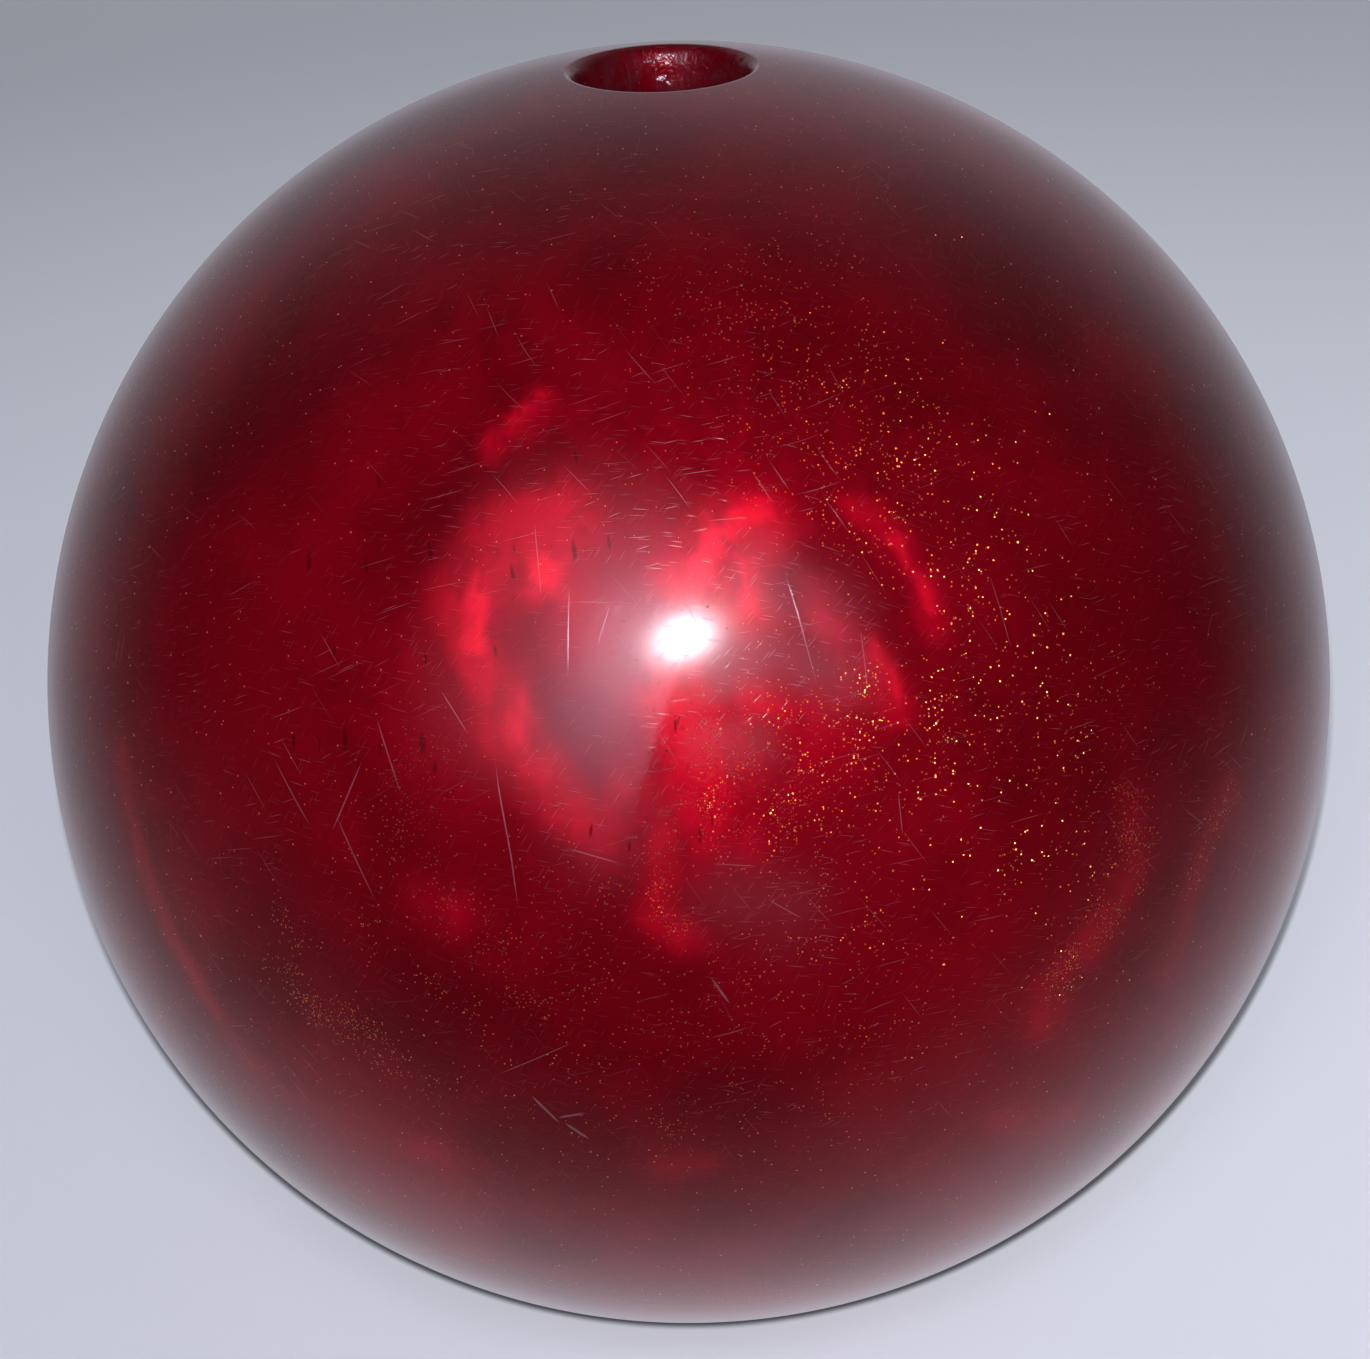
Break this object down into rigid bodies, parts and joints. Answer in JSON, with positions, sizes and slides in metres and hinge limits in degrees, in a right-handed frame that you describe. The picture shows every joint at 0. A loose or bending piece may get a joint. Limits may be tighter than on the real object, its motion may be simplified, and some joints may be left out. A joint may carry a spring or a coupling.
{
  "type": "bowling ball",
  "caption": "Drilled bowling ball: translucent pearl resin shell over a filler core and a dense weight block, with finger inserts and a locator pin.",
  "frame": {"origin": "the ball's centre", "axes": "+Z out through the thumb hole, +Y towards the finger holes and the locator pin, +X towards the ring finger's side, -Y towards the side with no holes"},
  "size_m": [0.217, 0.217, 0.2159],
  "materials": {
    "pearl_resin": "polished dark red pearl reactive resin with gold dust, lightly scratched",
    "core_filler": "rough cast filler, sand coloured",
    "weight_block_resin": "dense mineral-filled casting, matte",
    "pin_resin": "polished with the ball, amber",
    "insert_vinyl": "soft moulded vinyl, matte, finely grooved inside"
  },
  "bodies": {
    "root": {"coverstock": "pearl_resin", "outer_core": "core_filler", "weight_block": "weight_block_resin", "core_pin": "pin_resin", "middle_finger_insert": "insert_vinyl", "ring_finger_insert": "insert_vinyl"}
  },
  "joints": []
}
